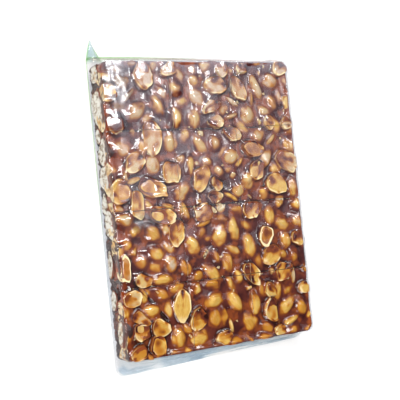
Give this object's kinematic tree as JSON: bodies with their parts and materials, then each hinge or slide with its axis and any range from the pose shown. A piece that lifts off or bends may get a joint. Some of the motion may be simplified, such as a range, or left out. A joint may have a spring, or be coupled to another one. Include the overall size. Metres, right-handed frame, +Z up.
{
  "type": "peanut brittle",
  "caption": "Flat rectangular slab of peanut brittle, whole and split nuts set in glossy dark caramel, scored into squares and sealed in clear film.",
  "frame": {"origin": "middle of the wrap's box on the surface that it lies on", "axes": "+Z up out of the scored face, +X across the slab's short side, +Y along its long side towards the film's ear"},
  "size_m": [0.1194, 0.1722, 0.0134],
  "materials": {
    "brittle": "glossy dark caramel with golden roasted nuts",
    "film": "thin clear film, glossy, slightly hazy, blue-grey at its sealed margins"
  },
  "bodies": {
    "root": {"brittle": "brittle", "film_wrap": "film"}
  },
  "joints": []
}
